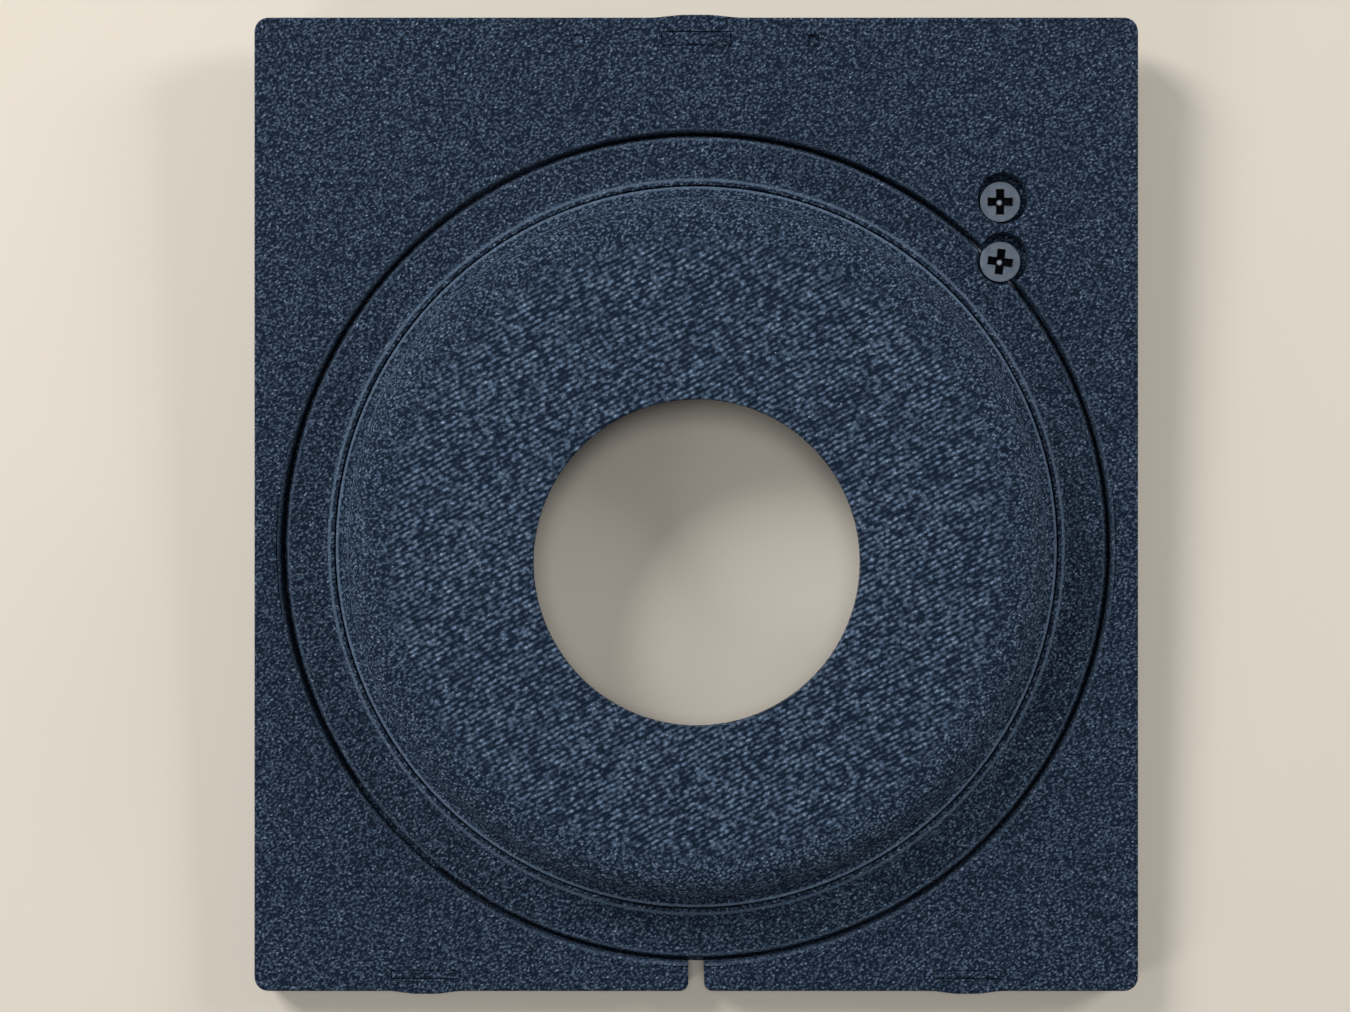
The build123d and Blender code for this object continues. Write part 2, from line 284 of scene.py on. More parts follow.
def divided(outline, longest):
    """The closed outline with points added evenly on every side longer than longest."""
    sides = []
    for here, after in zip(outline, np.roll(outline, -1, 0)):
        count = max(1, int(np.ceil(np.linalg.norm(after[:2] - here[:2]) / longest)))
        sides.append(here + (after - here) * np.linspace(0, 1, count, endpoint=False)[:, None])
    return np.concatenate(sides)


def carried(outline, centre, angle):
    """Grid of points of a (radius, height) outline carried round centre to each angle: x = radius
    cos a, y = radius sin a. A third column moves that part of the outline down by its value,
    which sets the off-centre lens hole."""
    angle = angle[:, None]
    radius, height = outline[None, :, 0], outline[None, :, 1]
    drop = outline[None, :, 2] if outline.shape[1] > 2 else 0.0
    return np.stack(np.broadcast_arrays(
        centre[0] + radius * np.cos(angle), centre[1] - drop + radius * np.sin(angle), height), -1)


def tube(name, grid, **looks):
    """A solid from a row of closed outlines: each is joined to the next, and a flat fan closes
    both ends."""
    rows, count = grid.shape[:2]
    points = np.concatenate([grid.reshape(-1, 3), grid[[0, -1]].mean(axis=1)])
    last = (rows - 1) * count
    faces = np.concatenate([
        surface_faces(rows, count, False, True),
        cap_faces([*range(count), len(points) - 2]),
        cap_faces([*range(last, last + count)[::-1], len(points) - 1])])
    return make_mesh(name, points, faces, **looks)


def full_turn(stations):
    """Even angles once round, the last one short of the first."""
    return np.linspace(0, 2 * math.pi, stations, endpoint=False)


def turned(name, outline, centre, stations=720):
    """A ring turned about an upright axis through centre from a closed outline."""
    grid = carried(outline, centre, full_turn(stations))
    return make_mesh(name, grid.reshape(-1, 3), surface_faces(*grid.shape[:2], True, True))


def solid_turned(name, outline, centre, stations=96):
    """A solid turned about an upright axis: every point of an open outline becomes a circle."""
    return tube(name, carried(outline, centre, full_turn(stations)).swapaxes(0, 1))


def stacked(outlines):
    """Grid of points of (x, y) outlines, each at its height."""
    return np.stack([np.column_stack([flat, np.full(len(flat), z)]) for flat, z in outlines])


def prism(name, outline, low, high):
    """An upright prism on a closed (x, y) outline."""
    return tube(name, stacked([(outline, low), (outline, high)]))


def swept_arc(name, outline, centre, start, end, stations):
    """A closed (radius, height) outline carried round centre between two angles in degrees."""
    return tube(name, carried(outline, centre, np.radians(np.linspace(start, end, stations))))


def stadium(x, low_y, high_y, radius, steps=24):
    """A round-ended outline round two centres one above the other."""
    half = np.linspace(0, math.pi, steps)
    upper = np.stack([x + radius * np.cos(half), high_y + radius * np.sin(half)], -1)
    lower = np.stack([x - radius * np.cos(half), low_y - radius * np.sin(half)], -1)
    return np.concatenate([upper, lower])


def bar_box(x, y, width, height, radius):
    """A rectangle's outline with rounded corners."""
    a, b = width / 2, height / 2
    return rounded([(x + a, y - b, radius), (x + a, y + b, radius),
                    (x - a, y + b, radius), (x - a, y - b, radius)])


def cut(piece, cutters, joined=(), smooth_angle=40.0):
    """Joins some closed meshes to a piece and cuts others out of it, then drops them."""
    for tool, operation in [*((j, "UNION") for j in joined), *((c, "DIFFERENCE") for c in cutters)]:
        step = piece.modifiers.new(tool.name, "BOOLEAN")
        step.object = tool
        step.operation = operation
        step.solver = "EXACT"
    graph = bpy.context.evaluated_depsgraph_get()
    finished = bpy.data.meshes.new_from_object(piece.evaluated_get(graph))
    piece.modifiers.clear()
    old, piece.data = piece.data, finished
    bpy.data.meshes.remove(old)
    for tool in (*joined, *cutters):
        mesh = tool.data
        bpy.data.objects.remove(tool)
        bpy.data.meshes.remove(mesh)
    smooth(finished, smooth_angle)
    return piece


def even_normals(piece):
    """Lets the large flat faces rule the shading beside the small roundings."""
    step = piece.modifiers.new("even_normals", "WEIGHTED_NORMAL")
    step.keep_sharp = True
    step.weight = 100
    return piece


def body_of_node(node):
    """The body that a frame node belongs to."""
    bodies = frame["record"]["behaviour"]["bodies"]
    return next(name for name, nodes in bodies.items() if node in nodes)


def dress(piece, material, node):
    """Gives a piece its material and the body and place in the record of the node it replaces."""
    piece.data.materials.clear()
    piece.data.materials.append(material)
    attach(piece, body_of_node(node))
    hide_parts(node)
    return piece


# --- screw pockets, shared by the plate and the ring ---

def pocket_cutters(sizes, axes, mouth_z, flare):
    """A round pocket with a flared mouth, and the shank's hole under it, for each axis."""
    floor_z = SCREW_TOP - sizes.head_thickness
    pocket = np.array([
        (sizes.pocket, floor_z), (sizes.pocket, mouth_z - flare),
        (sizes.pocket + 0.3 * flare, mouth_z - 0.35 * flare), (sizes.pocket + flare, mouth_z),
        (sizes.pocket + flare, mouth_z + OVER)])
    shank = np.array([(sizes.shank_hole, UNDER), (sizes.shank_hole, mouth_z)])
    cutters = []
    for number, axis in enumerate(axes):
        cutters.append(solid_turned(f"pocket_cutter_{number}", pocket, axis + POCKET_OFFSET))
        cutters.append(solid_turned(f"shank_cutter_{number}", shank, axis, stations=48))
    return cutters


# --- the pieces' shapes ---

def plateau(distance, half, run):
    """1 near 0, falling smoothly to 0 at half over the last run: 3t^2 - 2t^3."""
    t = np.clip((half - np.abs(distance)) / run, 0, 1)
    return t * t * (3 - 2 * t)


def plate_outline(sizes, angle):
    """Outer edge of the plate seen from the window's centre. A ray meets the rectangle, corners are
    pulled onto their arcs, swells are added, and the notch's mouth is turned in on a quarter arc."""
    low, high = PLATE_LOW[:2] + [0, sizes.swell], PLATE_HIGH[:2] - [0, sizes.swell]
    ray = np.stack([np.cos(angle), np.sin(angle)], -1)
    reach = np.where(ray > 0, high - CENTRE, low - CENTRE) / np.where(np.abs(ray) < 1e-9, 1e-9, ray)
    point = CENTRE + ray * reach.min(axis=1)[:, None]
    inner = np.clip(point, low + sizes.corner, high - sizes.corner)
    arm = point - inner
    point = inner + arm * (sizes.corner / np.linalg.norm(arm, axis=1))[:, None]
    top = point[:, 1] > high[1] - 0.01
    point[top, 1] += sizes.swell * plateau(point[top, 0], sizes.top_swell / 2, 4.6)
    bottom = point[:, 1] < low[1] + 0.01
    aside = np.abs(point[:, 0]) - box_mm("right_edge_insert")[0][0] - 4.08
    point[bottom, 1] -= sizes.swell * plateau(aside[bottom], sizes.low_swell / 2, 3.6)
    # mouth of the notch
    half, mouth = sizes.notch / 2, sizes.notch_mouth
    first = np.abs(point[[0, -1], 0]).min()
    limit = half + mouth
    near = bottom & (np.abs(point[:, 0]) < limit)
    x = half + (np.abs(point[near, 0]) - first) * mouth / (limit - first)
    point[near, 0] = np.sign(point[near, 0]) * x
    point[near, 1] += mouth - np.sqrt(np.maximum(mouth ** 2 - (limit - x) ** 2, 0))
    return point


def plate_body(sizes):
    """The plate without its ledge: a closed section carried round from one side of the notch to the
    other. Each station's section runs up the window wall, out over the face, down the edge and back
    along the rear; its face points lie between the window's circle and the plate's outer edge."""
    notch = math.asin(sizes.notch / 2 / sizes.window)
    close = math.radians(1.6)
    start, end = -math.pi / 2 + notch, 1.5 * math.pi - notch
    angle = np.concatenate([
        np.linspace(start, start + close, 33)[:-1],
        np.linspace(start + close, end - close, 1160),
        np.linspace(end - close, end, 33)[1:]])
    inner = CENTRE + sizes.window * np.stack([np.cos(angle), np.sin(angle)], -1)
    outer = plate_outline(sizes, angle)
    span = outer - inner
    width = np.linalg.norm(span, axis=1)
    away = span / width[:, None]
    # section as (share of the span, millimetres outwards, height)
    small, large = sizes.window_edge, sizes.edge
    quarter = np.linspace(0, math.pi / 2, 6)
    section = [(0, 0, BACK_Z), (0, 0, (BACK_Z + FACE_Z) / 2)]
    section += [(0, small * (1 - math.cos(q)), FACE_Z - small * (1 - math.sin(q))) for q in quarter]
    section += [(share, 0, FACE_Z) for share in np.linspace(0.12, 0.88, 10)]
    section += [(1, -large * (1 - math.sin(q)), FACE_Z - large * (1 - math.cos(q))) for q in quarter]
    section += [(1, 0, (BACK_Z + FACE_Z) / 2)]
    section += [(1, -large * (1 - math.cos(q)), BACK_Z + large * (1 - math.sin(q))) for q in quarter]
    section += [(share, 0, BACK_Z) for share in np.linspace(0.88, 0.12, 6)]
    section = np.array(section)
    flat = (inner[:, None] + span[:, None] * section[None, :, :1]
            + away[:, None] * section[None, :, 1:2])
    height = np.broadcast_to(section[None, :, 2], flat.shape[:2])
    points = np.concatenate([flat, height[..., None]], -1)
    return tube("carrier_plate_shell", points)


def plate_shell(scene):
    """The plate's body with its ledge joined on, less the screw pockets, the rear slot for the
    tapped bar, the inserts' slots, the pins' stepped holes, each turned from its own outline, and
    the groove for the ring's tongue, an arc opposite the lock screw."""
    sizes, screws = chosen(scene, "plate"), chosen(scene, "screws")
    body = plate_body(sizes)
    ledge_top = BACK_Z + sizes.shelf_thickness
    ledge = turned("ledge", rounded([
        (sizes.window - sizes.shelf, BACK_Z, 0.1), (sizes.window + 0.4, BACK_Z + 0.001, 0),
        (sizes.window + 0.4, ledge_top, 0), (sizes.window - sizes.shelf, ledge_top, 0.1)]),
        CENTRE, stations=480)
    cutters = pocket_cutters(screws, SCREW_AXES, FACE_Z, 0.16)
    (bar_x, low_y), (_, high_y) = SCREW_AXES
    cutters.append(prism("bar_cutter", stadium(
        bar_x, low_y, high_y, (BAR_HIGH[0] - BAR_LOW[0]) / 2 + 0.2), UNDER, BAR_HIGH[2]))
    for node in ("top_edge_insert", "left_edge_insert", "right_edge_insert"):
        middle, size = middle_and_size(node)
        cutters.append(prism(f"{node}_cutter", bar_box(
            middle[0], middle[1], size[0] + 0.24, size[1] + 0.24, 0.2),
            middle[2] - size[2] / 2, FACE_Z + 2))
    for node in ("left_stage_pin", "right_stage_pin"):
        outline = np.array([(1.1, UNDER), (1.1, BACK_Z + 0.5), (0.6, BACK_Z + 0.5),
                            (0.6, FACE_Z - 0.5), (0.84, FACE_Z - 0.5),
                            (0.84, FACE_Z - 0.12), (0.98, FACE_Z), (0.98, FACE_Z + 2)])
        cutters.append(solid_turned(f"{node}_cutter", outline, middle_and_size(node)[0],
                                    stations=48))
    reach, top = sizes.window + 1.1, FLANGE_Z + 1.4
    groove = rounded([(sizes.window - 1, FLANGE_Z, 0), (reach, FLANGE_Z, 0),
                      (reach, top, 0), (sizes.window - 1, top, 0)])
    half = TONGUE_HALF + 0.5
    cutters.append(swept_arc("tongue_cutter", groove, CENTRE, TONGUE_ANGLE - half,
                              TONGUE_ANGLE + half, 24))
    return even_normals(cut(body, cutters, joined=[ledge]))


def ring_shell(scene):
    """The ring's section turned about the window's axis. From the bore it runs out under the
    shoulder, past the retainer's groove, round the hub and the flange, in over the face and up the
    lip. The tongue is an arc of a small rectangle, and the lock screw's pocket is cut out."""
    sizes, screws = chosen(scene, "disc"), chosen(scene, "screws")
    window = chosen(scene, "plate").window
    outer = window - RING_GAP
    low, flange_low = RING_LOW[2], FLANGE_Z
    top = RING_FACE
    lip = top + sizes.lip_height
    section = divided(rounded([
        (sizes.ring_bore, low + 1.75, 0.05), (sizes.rim_bore, low + 1.75, 0.05),
        (sizes.rim_bore, low + 0.85, 0), (sizes.rim_bore + 0.7, low + 0.85, 0),
        (sizes.rim_bore + 0.7, low + 0.35, 0), (sizes.rim_bore, low + 0.35, 0),
        (sizes.rim_bore, low, 0.1), (sizes.hub, low, 0.15), (sizes.hub, flange_low, 0.1),
        (outer, flange_low, 0.15), (outer, top, sizes.ring_edge),
        (sizes.lip_outer, top, 0.35), (sizes.lip_inner, lip, 0.18),
        (sizes.ring_bore, lip, 0.1)], steps=6), 0.9)
    ring = turned("adapter_ring_shell", section, CENTRE, stations=960)
    tip = outer + TONGUE_REACH
    tongue = rounded([(outer - 0.6, flange_low + 0.3, 0), (tip, flange_low + 0.3, 0.15),
                      (tip, flange_low + 1.1, 0.15), (outer - 0.6, flange_low + 1.1, 0)])
    joined = [swept_arc("tongue", tongue, CENTRE, TONGUE_ANGLE - TONGUE_HALF,
                        TONGUE_ANGLE + TONGUE_HALF, 24)]
    cutters = pocket_cutters(screws, SCREW_AXES[:1], top, 0.16)
    return even_normals(cut(ring, cutters, joined=joined))


def cup_shell(scene):
    """The cup's section runs up the outer wall, over the shoulder, in to the lens hole and back
    under the face. The part between shoulder and hole moves down by the hole's drop in step with
    its radius, so that the rings go smoothly from one centre to the other."""
    sizes = chosen(scene, "disc")
    low = CUP_LOW[2]
    lip = RING_FACE + sizes.lip_height
    bore = sizes.top - sizes.wall_thickness
    ceiling = CUP_TOP - 1.8
    section = divided(rounded([
        (bore, low, 0.1), (sizes.neck + 1.2, low, 0.1), (sizes.neck + 1.2, low + 0.8, 0.1),
        (sizes.neck, low + 0.8, 0), (sizes.neck, lip, 0.2), (sizes.foot, lip, 0.08),
        (sizes.step, lip + 0.5, 0.1), (sizes.wall, lip + 0.95, 0.2),
        (sizes.top, CUP_TOP, sizes.shoulder),
        (sizes.hole, CUP_TOP, sizes.hole_edge), (sizes.hole, ceiling, sizes.hole_edge),
        (bore, ceiling, 1.9)], steps=8), 1.1)
    inside = np.clip((sizes.top - sizes.shoulder - section[:, 0])
                     / (sizes.top - sizes.shoulder - sizes.hole - sizes.hole_edge), 0, 1)
    inside[section[:, 1] < ceiling - 0.001] = 0
    section = np.column_stack([section, inside * sizes.hole_drop])
    return even_normals(turned("lens_cup_shell", section, CENTRE, stations=640))


def screw_shape(name, scene, axis, top_z, tip_z, cross_turn):
    """A cross-head screw. The head's top is a square grid drawn onto a disc, x = u sqrt(1 - v^2/2),
    y = v sqrt(1 - u^2/2), lowered inside the cross and by the turning marks' fine waves. From its
    edge, rings run down the rounded side and along a thread whose radius is a wave of
    height / pitch - turn."""
    sizes = chosen(scene, "screws")
    side = 100
    u, v = np.meshgrid(np.linspace(-1, 1, side + 1), np.linspace(-1, 1, side + 1), indexing="ij")
    flat = sizes.head - sizes.head_edge
    x, y = flat * u * np.sqrt(1 - v * v / 2), flat * v * np.sqrt(1 - u * u / 2)
    radius = np.hypot(x, y)
    depth = np.zeros_like(x)
    for along, across in ((x, y), (y, x)):
        reach = np.clip((sizes.cross_reach - np.abs(along)) / 0.14, 0, 1)
        wall = np.clip((sizes.cross_half - np.abs(across)) / 0.1, 0, 1)
        fall = sizes.cross_depth * (0.62 + 0.38 * np.clip(1 - np.abs(along) / sizes.cross_reach, 0, 1))
        depth = np.maximum(depth, fall * np.minimum(reach, wall))
    depth = np.where(radius < 0.3, sizes.cross_depth * 0.98, depth)
    marks = 0.005 * np.cos(2 * math.pi * radius / TURNING_MARKS) * (depth == 0)
    turn = math.radians(cross_turn)
    head = np.stack([
        axis[0] + x * math.cos(turn) - y * math.sin(turn),
        axis[1] + x * math.sin(turn) + y * math.cos(turn), top_z - 0.005 - depth + marks], -1)
    number = np.arange((side + 1) ** 2).reshape(side + 1, side + 1)
    rim = np.concatenate([number[:-1, 0], number[-1, :-1], number[:0:-1, -1], number[0, :0:-1]])
    flat_head = head.reshape(-1, 3)
    angle = np.arctan2(flat_head[rim, 1] - axis[1], flat_head[rim, 0] - axis[0])
    seat = top_z - sizes.head_thickness
    quarter = np.linspace(0, math.pi / 2, 7)[1:]
    profile = [(flat + sizes.head_edge * math.sin(q), top_z - sizes.head_edge * (1 - math.cos(q)))
               for q in quarter]
    profile += [(sizes.head, seat + 0.08), (sizes.head - 0.08, seat), (1.5, seat), (1.15, seat - 0.06)]
    shank = np.linspace(seat - 0.08, tip_z + 0.2, 40)
    rows = [(r, z, 0.0) for r, z in profile] + [(sizes.thread_outer, z, 1.0) for z in shank]
    rows += [(0.95, tip_z + 0.06, 0.0), (0.8, tip_z, 0.0)]
    rows = np.array(rows)[:, None, :]
    phase = rows[..., 1] / sizes.pitch - angle[None, :] / (2 * math.pi)
    groove = sizes.thread_depth * (0.5 - 0.5 * np.cos(2 * math.pi * phase)) * rows[..., 2]
    r = rows[..., 0] - groove
    rings = np.stack(np.broadcast_arrays(
        axis[0] + r * np.cos(angle), axis[1] + r * np.sin(angle), rows[..., 1] + 0 * r), -1)
    start = len(flat_head)
    count = len(rim)
    points = np.concatenate([flat_head, rings.reshape(-1, 3), [[*axis, tip_z]]])
    ring_faces = surface_faces(len(rows), count, False, True) + start
    joining = np.stack([rim, np.roll(rim, -1), start + np.roll(np.arange(count), -1),
                        start + np.arange(count)], -1)
    tip = cap_faces([*(start + (len(rows) - 1) * count + np.arange(count)), len(points) - 1])
    faces = np.concatenate([surface_faces(side + 1, side + 1, False, False), joining[:, ::-1],
                            ring_faces, tip[:, ::-1]])
    return make_mesh(name, points, faces, smooth_angle=38.0)


def insert_shape(name, node):
    """An edge insert whose outline draws in over its last tenths, which rounds its top edge."""
    middle, size = middle_and_size(node)
    low, high = middle[2] - size[2] / 2, middle[2] + size[2] / 2
    return tube(name, stacked([
        (bar_box(middle[0], middle[1], size[0] - 2 * inset, size[1] - 2 * inset, 0.12), z)
        for inset, z in ((-0.02, low), (-0.02, high - 0.12), (0.04, high - 0.05),
                         (0.14, high))]))


def pin_shape(name, node):
    """A stage pin: a dowel end behind the plate and a thin end with a crowned tip in its mouth."""
    low, high = box_mm(node)
    centre = (low[:2] + high[:2]) / 2
    outline = np.array([
        (0.55, low[2]), (0.7, low[2] + 0.02), (0.88, low[2] + 0.2), (0.9, low[2] + 0.28),
        (0.9, BACK_Z - 0.05), (0.87, BACK_Z), (0.7, BACK_Z), (0.7, BACK_Z + 0.5),
        (0.6, BACK_Z + 0.5), (0.6, FACE_Z - 0.49), (0.74, FACE_Z - 0.49),
        (0.74, high[2] - 0.1), (0.69, high[2] - 0.03), (0.58, high[2])])
    return solid_turned(name, outline, centre, stations=64)


def retainer_shape(name):
    """The open ring behind the cup: a rounded section carried round, short of a full turn."""
    inner, outer, half_gap = 44.2, 46.05, 4.5
    low, high = (corner[2] for corner in box_mm("cup_retainer"))
    section = rounded([(inner, low, 0.1), (outer, low, 0.1), (outer, high, 0.1),
                       (inner, high, 0.1)])
    gap = math.degrees(math.asin(half_gap / outer))
    return swept_arc(name, section, CENTRE, -90 + gap, 270 - gap, 360)


# --- finishes ---

def add(tree, kind, inputs=(), output=0, **settings):
    """Adds a node, sets its properties and fills its sockets: an output is linked in, and any
    other value becomes the socket's own. Returns one of the node's outputs."""
    node = tree.nodes.new(kind)
    for name, value in settings.items():
        setattr(node, name, value)
    for socket, value in dict(inputs).items():
        if isinstance(value, bpy.types.NodeSocket):
            tree.links.new(value, node.inputs[socket])
        else:
            node.inputs[socket].default_value = value
    return node.outputs[output] if node.outputs else None


COORDINATES, MAPPING = "ShaderNodeTexCoord", "ShaderNodeMapping"
NOISE, CELLS, WAVE = "ShaderNodeTexNoise", "ShaderNodeTexVoronoi", "ShaderNodeTexWave"
MATH, VECTOR_MATH, RANGE = "ShaderNodeMath", "ShaderNodeVectorMath", "ShaderNodeMapRange"
MIX, BUMP = "ShaderNodeMix", "ShaderNodeBump"
SHADER, OUTPUT = "ShaderNodeBsdfPrincipled", "ShaderNodeOutputMaterial"
MIXED_COLOUR = 2                 # number of a Mix node's colour output
MIX_FIRST, MIX_SECOND = 6, 7     # numbers of its colour inputs
WAVE_PERIOD = 2 * math.pi / 20   # of the wave texture at a scale of 1


def bare_material(name):
    """A new material with no nodes, and its node tree."""
    material = bpy.data.materials.new(name)
    material.use_nodes = True
    material.node_tree.nodes.clear()
    return material, material.node_tree


def millimetres(tree, turn=0.0, stretch=(1, 1, 1), middle=(0, 0, 0)):
    """Object coordinates in millimetres about a middle, also in millimetres, turned about Z and
    stretched."""
    place = add(tree, COORDINATES, output="Object")
    place = add(tree, MAPPING, {"Vector": place, "Location": tuple(-m for m in middle),
                                "Scale": (1 / MM,) * 3})
    if turn == 0 and stretch == (1, 1, 1):
        return place
    place = add(tree, MAPPING, {"Vector": place, "Rotation": (0, 0, math.radians(-turn))})
    return add(tree, MAPPING, {"Vector": place, "Scale": stretch})


def about(point):
    """A middle for millimetres(), from a point seen from the front."""
    return (float(point[0]), float(point[1]), 0.0)


def distance_from(tree, point):
    """Distance in millimetres from an upright axis."""
    flat = millimetres(tree, middle=about(point), stretch=(1, 1, 0))
    return add(tree, VECTOR_MATH, {0: flat}, "Value", operation="LENGTH")


def edge_share(tree, radius, bands):
    """The share of each ring of (radius, half width, share) about the cup's centre, fading to 0
    beside it."""
    total = 0.0
    for middle, half, share in bands:
        off = add(tree, MATH, {0: radius, 1: middle}, operation="SUBTRACT")
        off = add(tree, MATH, {0: off}, operation="ABSOLUTE")
        band = add(tree, RANGE, {"Value": off, "From Min": half, "From Max": 0.3 * half,
                                "To Max": share},
                   interpolation_type="SMOOTHSTEP")
        total = add(tree, MATH, {0: total, 1: band}, operation="MAXIMUM")
    return total


GRAIN_TURN, GRAIN_STRETCH = 32.0, (0.75, 1, 1)
RASTER_TURN, RASTER_STRETCH = 28.0, (0.75, 1, 1)
FACE_START, FACE_FULL = 38.5, 35.0       # radii between which the cup's raster fades in


def grain_height(tree, finish):
    """Height of the paint's grain, about 0 to 1: fine noise less the distance to the nearest of
    scattered points, which gives rounded lumps, plus a broad unevenness."""
    slanted = millimetres(tree, GRAIN_TURN, GRAIN_STRETCH)
    lumps = add(tree, CELLS, {"Vector": slanted, "Scale": 1 / finish.grain, "Smoothness": 0.35},
                feature="SMOOTH_F1")
    fine = add(tree, NOISE, {"Vector": slanted, "Scale": 1.18 / finish.grain, "Detail": 2.0,
                             "Roughness": 0.6})
    broad = add(tree, NOISE, {"Vector": millimetres(tree), "Scale": 0.25 / finish.grain})
    height = 0.0
    for part, weight in ((fine, 1.2), (lumps, -0.6), (broad, 0.18)):
        height = add(tree, MATH, {0: part, 1: weight, 2: height}, operation="MULTIPLY_ADD")
    return height


def rastered(tree, finish, height):
    """The cup's flat face alone carries a woven-looking raster: short dashes side by side in rows
    that rise to the right. They are lumps stretched along the rows, plus noise and a faint
    wave across the rows."""
    along = millimetres(tree, RASTER_TURN, RASTER_STRETCH, about(CENTRE))
    cells = add(tree, CELLS, {"Vector": along, "Scale": 1 / finish.raster, "Randomness": 0.7})
    fine = add(tree, NOISE, {"Vector": along, "Scale": 1.67 / finish.raster, "Detail": 1.5})
    wave = add(tree, WAVE, {
        "Vector": millimetres(tree, RASTER_TURN, middle=about(CENTRE)),
        "Scale": WAVE_PERIOD / finish.raster, "Distortion": 1.7, "Detail": 1.0,
        "Detail Scale": 1.6}, "Fac", wave_type="BANDS", bands_direction="Y")
    both = 0.352
    for part, weight in ((cells, -0.656), (fine, 0.416), (wave, 0.208), (height, 0.25)):
        both = add(tree, MATH, {0: part, 1: weight, 2: both}, operation="MULTIPLY_ADD")
    face = add(tree, RANGE, {"Value": distance_from(tree, CENTRE), "From Min": FACE_START,
                             "From Max": FACE_FULL}, interpolation_type="SMOOTHSTEP")
    return add(tree, MIX, {"Factor": face, 2: height, 3: both}, data_type="FLOAT")


def textured_paint(name, finish, crest, pit, edges=(), raster=False):
    """Fine-textured stoving paint on a die casting: the paint draws up into grains about 0.4 mm
    across, matt in the pits and with a dull sheen on the crests. It lies thinner and smoother
    along raised edges, and is painted lighter there as a highlight; painted highlights also
    lighten scattered crest tips. The grain is drawn a little coarse, so that it shows."""
    material, tree = bare_material(name)
    place = millimetres(tree)
    height = grain_height(tree, finish)
    if raster:
        height = rastered(tree, finish, height)
    # Along raised edges the grain is smoothed, and a lighter colour is painted on there as a
    # highlight.
    if edges:
        rubbed = edge_share(tree, distance_from(tree, CENTRE), edges)
        height = add(tree, MIX, {"Factor": rubbed, 2: height, 3: 0.58}, data_type="FLOAT")
    crests = add(tree, RANGE, {"Value": height, "From Min": 0.26, "From Max": 0.9})
    crests = add(tree, MATH, {0: crests, 1: 1.6}, operation="POWER")
    layers = [(crests, crest)]
    # Painted highlight: a lighter colour on scattered crest tips.
    sparkle = add(tree, NOISE, {"Vector": place, "Scale": 1 / finish.sparkle, "Detail": 0.0})
    sparkle = add(tree, RANGE, {"Value": sparkle, "From Min": 0.58, "From Max": 0.76,
                                "To Max": 0.8}, interpolation_type="SMOOTHSTEP")
    sparkle = add(tree, MATH, {0: sparkle, 1: crests}, operation="MULTIPLY")
    layers.append((sparkle, finish.glint))
    # painted highlight along the raised edges
    if edges:
        layers.append((rubbed, finish.rubbed))
    specks = add(tree, CELLS, {"Vector": place, "Scale": 1 / finish.dust_spacing})
    specks = add(tree, RANGE, {"Value": specks, "From Min": 0.055, "From Max": 0.03})
    layers.append((specks, finish.dust))
    tone = pit
    for share, upper in layers:
        tone = add(tree, MIX, {"Factor": share, MIX_FIRST: tone, MIX_SECOND: upper},
                   MIXED_COLOUR, data_type="RGBA")
    sheen = add(tree, RANGE, {"Value": crests, "To Min": 0.75, "To Max": 0.45})
    relief = add(tree, BUMP, {"Height": height, "Distance": finish.relief * MM})
    shader = add(tree, SHADER, {
        "Base Color": tone, "Roughness": sheen, "Normal": relief, "IOR": 1.5,
        "Specular IOR Level": 0.2, "Specular Tint": finish.sheen})
    add(tree, OUTPUT, {"Surface": shader})
    return material


def turned_steel(name, finish, axis, top):
    """Zinc-plated steel turned on its top: fine rings round the axis and a soft grey sheen. The cross
    is painted dark as shade; its bottom, polished where the driver seats, is painted lighter as a
    highlight."""
    material, tree = bare_material(name)
    place = millimetres(tree, middle=about(axis))
    cloud = add(tree, NOISE, {"Vector": place, "Scale": 0.9, "Detail": 3.0})
    cloud = add(tree, RANGE, {"Value": cloud, "From Min": 0.3, "From Max": 0.75})
    radius = distance_from(tree, axis)
    height = add(tree, "ShaderNodeSeparateXYZ", {"Vector": place}, "Z")
    # Painted shade: darker below the head's top, inside the cross.
    painted_recess_shade = add(tree, RANGE, {"Value": height, "From Min": top - 0.08, "From Max": top - 0.3})
    for near, far in ((0.2, 0.34), (1.75, 1.65)):
        ring = add(tree, RANGE, {"Value": radius, "From Min": near, "From Max": far})
        painted_recess_shade = add(tree, MATH, {0: painted_recess_shade, 1: ring}, operation="MULTIPLY")
    # Painted highlight: the seat at the cross's bottom, polished by the driver, is painted lighter.
    seat = add(tree, RANGE, {"Value": radius, "From Min": 0.4, "From Max": 0.15})
    tone = finish.screw_steel
    # The layers add painted shade in the cross and a painted highlight on its seat.
    for share, upper in ((cloud, finish.screw_shade), (painted_recess_shade, finish.recess),
                         (seat, finish.seat)):
        tone = add(tree, MIX, {"Factor": share, MIX_FIRST: tone, MIX_SECOND: upper},
                   MIXED_COLOUR, data_type="RGBA")
    rings = add(tree, WAVE, {"Vector": place, "Scale": WAVE_PERIOD / TURNING_MARKS,
                             "Distortion": 0.3, "Detail": 2.0}, "Fac", wave_type="RINGS",
                rings_direction="Z")
    gloss = add(tree, RANGE, {"Value": rings, "To Min": 0.42, "To Max": 0.6})
    relief = add(tree, BUMP, {"Height": rings, "Strength": 0.4, "Distance": 0.01 * MM})
    shader = add(tree, SHADER, {"Base Color": tone, "Roughness": gloss, "Normal": relief,
                                "Metallic": 1.0})
    add(tree, OUTPUT, {"Surface": shader})
    return material


